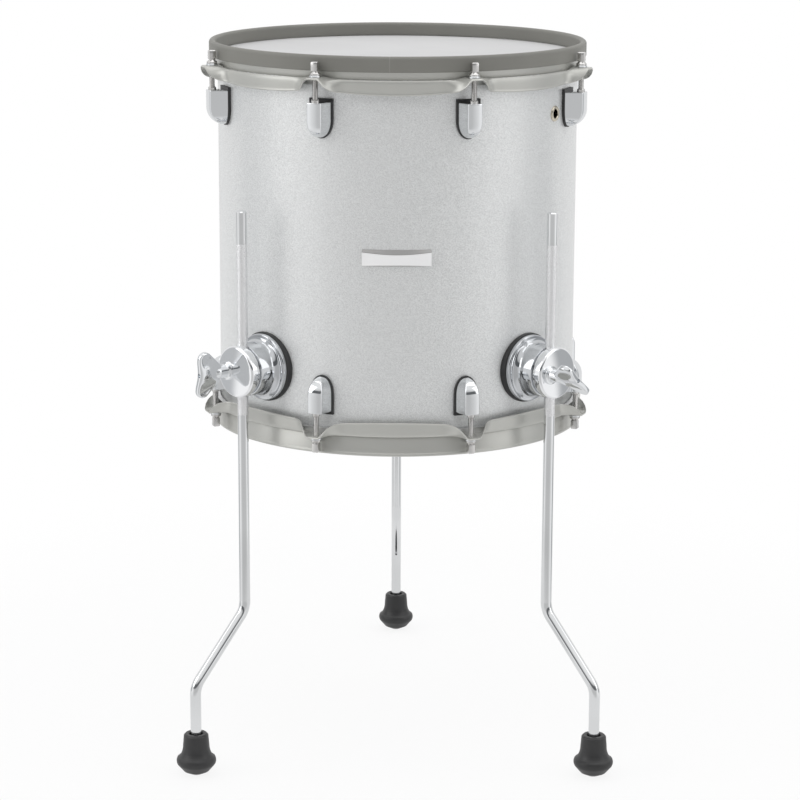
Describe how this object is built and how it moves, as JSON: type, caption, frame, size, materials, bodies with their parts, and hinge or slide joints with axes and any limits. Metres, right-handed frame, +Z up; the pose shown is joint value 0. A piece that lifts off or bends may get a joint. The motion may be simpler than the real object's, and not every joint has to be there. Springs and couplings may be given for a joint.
{
  "type": "floor tom",
  "caption": "Floor tom drum with a wrapped shell, eared hoops, half moon lugs and height-adjustable legs in wing-bolt clamp brackets",
  "frame": {"origin": "centre of the bounding box at floor level, with the drum standing on its feet", "axes": "+Z up, -Y towards the front with the badge, +X to the right seen from the front"},
  "size_m": [0.426, 0.5064, 0.6982],
  "materials": {
    "wrap": "silver sparkle wrap over wooden plies",
    "head": "coated film",
    "ring": "plain metal ring",
    "hoop": "warm grey satin paint",
    "cover": "warm grey soft rubber",
    "chrome": "bright chrome",
    "steel": "plated steel",
    "rubber": "black rubber",
    "nickel": "nickelled brass"
  },
  "bodies": {
    "drum": {"shell": "wrap", "batter_head": "head", "resonant_head": "head", "batter_flesh_hoop": "ring", "resonant_flesh_hoop": "ring", "top_hoop": "hoop", "bottom_hoop": "hoop", "rim_cover": "cover", "top_lugs": "chrome", "bottom_lugs": "chrome", "badge": "chrome", "top_rod_washers": "chrome", "bottom_rod_washers": "chrome", "top_swivel_nuts": "steel", "bottom_swivel_nuts": "steel", "lug_screws": "steel", "lug_washers": "steel", "badge_pins": "steel", "bracket_plates": "steel", "bracket_screws": "steel", "top_lug_gaskets": "rubber", "bottom_lug_gaskets": "rubber", "bracket_gaskets": "rubber", "air_vent": "nickel", "vent_nut": "nickel", "bracket_base_right": "chrome", "bracket_base_left": "chrome", "bracket_base_rear": "chrome"},
    "tension_rod_top_1": {"tension_rod_top_1": "chrome"},
    "tension_rod_top_2": {"tension_rod_top_2": "chrome"},
    "tension_rod_top_3": {"tension_rod_top_3": "chrome"},
    "tension_rod_top_4": {"tension_rod_top_4": "chrome"},
    "tension_rod_top_5": {"tension_rod_top_5": "chrome"},
    "tension_rod_top_6": {"tension_rod_top_6": "chrome"},
    "tension_rod_top_7": {"tension_rod_top_7": "chrome"},
    "tension_rod_top_8": {"tension_rod_top_8": "chrome"},
    "tension_rod_bottom_1": {"tension_rod_bottom_1": "chrome"},
    "tension_rod_bottom_2": {"tension_rod_bottom_2": "chrome"},
    "tension_rod_bottom_3": {"tension_rod_bottom_3": "chrome"},
    "tension_rod_bottom_4": {"tension_rod_bottom_4": "chrome"},
    "tension_rod_bottom_5": {"tension_rod_bottom_5": "chrome"},
    "tension_rod_bottom_6": {"tension_rod_bottom_6": "chrome"},
    "tension_rod_bottom_7": {"tension_rod_bottom_7": "chrome"},
    "tension_rod_bottom_8": {"tension_rod_bottom_8": "chrome"},
    "leg_right": {"leg_right": "chrome", "leg_foot_right": "rubber"},
    "jaw_right": {"clamp_jaw_right": "chrome"},
    "wing_right": {"wing_bolt_right": "chrome"},
    "leg_left": {"leg_left": "chrome", "leg_foot_left": "rubber"},
    "jaw_left": {"clamp_jaw_left": "chrome"},
    "wing_left": {"wing_bolt_left": "chrome"},
    "leg_rear": {"leg_rear": "chrome", "leg_foot_rear": "rubber"},
    "jaw_rear": {"clamp_jaw_rear": "chrome"},
    "wing_rear": {"wing_bolt_rear": "chrome"}
  },
  "joints": [
    {"name": "tension_rod_top_1_turn", "type": "hinge", "parent": "drum", "child": "tension_rod_top_1", "pos_m": [0.07136, -0.21945, 0.6861], "axis": [0, 0, 1], "continuous": true},
    {"name": "tension_rod_top_2_turn", "type": "hinge", "parent": "drum", "child": "tension_rod_top_2", "pos_m": [0.17726, -0.11647, 0.6861], "axis": [0, 0, 1], "continuous": true},
    {"name": "tension_rod_top_3_turn", "type": "hinge", "parent": "drum", "child": "tension_rod_top_3", "pos_m": [0.17932, 0.03123, 0.6861], "axis": [0, 0, 1], "continuous": true},
    {"name": "tension_rod_top_4_turn", "type": "hinge", "parent": "drum", "child": "tension_rod_top_4", "pos_m": [0.07634, 0.13713, 0.6861], "axis": [0, 0, 1], "continuous": true},
    {"name": "tension_rod_top_5_turn", "type": "hinge", "parent": "drum", "child": "tension_rod_top_5", "pos_m": [-0.07136, 0.1392, 0.6861], "axis": [0, 0, 1], "continuous": true},
    {"name": "tension_rod_top_6_turn", "type": "hinge", "parent": "drum", "child": "tension_rod_top_6", "pos_m": [-0.17726, 0.03621, 0.6861], "axis": [0, 0, 1], "continuous": true},
    {"name": "tension_rod_top_7_turn", "type": "hinge", "parent": "drum", "child": "tension_rod_top_7", "pos_m": [-0.17932, -0.11149, 0.6861], "axis": [0, 0, 1], "continuous": true},
    {"name": "tension_rod_top_8_turn", "type": "hinge", "parent": "drum", "child": "tension_rod_top_8", "pos_m": [-0.07634, -0.21739, 0.6861], "axis": [0, 0, 1], "continuous": true},
    {"name": "tension_rod_bottom_1_turn", "type": "hinge", "parent": "drum", "child": "tension_rod_bottom_1", "pos_m": [0.07136, -0.21945, 0.3265], "axis": [0, 0, 1], "continuous": true},
    {"name": "tension_rod_bottom_2_turn", "type": "hinge", "parent": "drum", "child": "tension_rod_bottom_2", "pos_m": [0.17726, -0.11647, 0.3265], "axis": [0, 0, 1], "continuous": true},
    {"name": "tension_rod_bottom_3_turn", "type": "hinge", "parent": "drum", "child": "tension_rod_bottom_3", "pos_m": [0.17932, 0.03123, 0.3265], "axis": [0, 0, 1], "continuous": true},
    {"name": "tension_rod_bottom_4_turn", "type": "hinge", "parent": "drum", "child": "tension_rod_bottom_4", "pos_m": [0.07634, 0.13713, 0.3265], "axis": [0, 0, 1], "continuous": true},
    {"name": "tension_rod_bottom_5_turn", "type": "hinge", "parent": "drum", "child": "tension_rod_bottom_5", "pos_m": [-0.07136, 0.1392, 0.3265], "axis": [0, 0, 1], "continuous": true},
    {"name": "tension_rod_bottom_6_turn", "type": "hinge", "parent": "drum", "child": "tension_rod_bottom_6", "pos_m": [-0.17726, 0.03621, 0.3265], "axis": [0, 0, 1], "continuous": true},
    {"name": "tension_rod_bottom_7_turn", "type": "hinge", "parent": "drum", "child": "tension_rod_bottom_7", "pos_m": [-0.17932, -0.11149, 0.3265], "axis": [0, 0, 1], "continuous": true},
    {"name": "tension_rod_bottom_8_turn", "type": "hinge", "parent": "drum", "child": "tension_rod_bottom_8", "pos_m": [-0.07634, -0.21739, 0.3265], "axis": [0, 0, 1], "continuous": true},
    {"name": "leg_right_slide", "type": "slide", "parent": "drum", "child": "leg_right", "axis": [0, 0, 1], "range_m": [-0.11, 0.19]},
    {"name": "jaw_right_slide", "type": "slide", "parent": "drum", "child": "jaw_right", "axis": [0.7071, -0.7071, 0], "range_m": [0, 0.0025]},
    {"name": "wing_right_turn", "type": "hinge", "parent": "jaw_right", "child": "wing_right", "pos_m": [0.14793, -0.20333, 0.393], "axis": [0.7071, -0.7071, 0], "range_deg": [0, 720.5]},
    {"name": "leg_left_slide", "type": "slide", "parent": "drum", "child": "leg_left", "axis": [0, 0, 1], "range_m": [-0.11, 0.19]},
    {"name": "jaw_left_slide", "type": "slide", "parent": "drum", "child": "jaw_left", "axis": [-0.7071, -0.7071, 0], "range_m": [0, 0.0025]},
    {"name": "wing_left_turn", "type": "hinge", "parent": "jaw_left", "child": "wing_left", "pos_m": [-0.1632, -0.18805, 0.393], "axis": [-0.7071, -0.7071, 0], "range_deg": [0, 720.5]},
    {"name": "leg_rear_slide", "type": "slide", "parent": "drum", "child": "leg_rear", "axis": [0, 0, 1], "range_m": [-0.11, 0.19]},
    {"name": "jaw_rear_slide", "type": "slide", "parent": "drum", "child": "jaw_rear", "axis": [0, 1, 0], "range_m": [0, 0.0025]},
    {"name": "wing_rear_turn", "type": "hinge", "parent": "jaw_rear", "child": "wing_rear", "pos_m": [0.0108, 0.17987, 0.393], "axis": [0, 1, 0], "range_deg": [0, 720.5]}
  ],
  "couplings": [
    {"joint": "wing_right_turn", "follows": "jaw_right_slide", "rad_per_m": 5026.5},
    {"joint": "wing_left_turn", "follows": "jaw_left_slide", "rad_per_m": 5026.5},
    {"joint": "wing_rear_turn", "follows": "jaw_rear_slide", "rad_per_m": 5026.5}
  ]
}
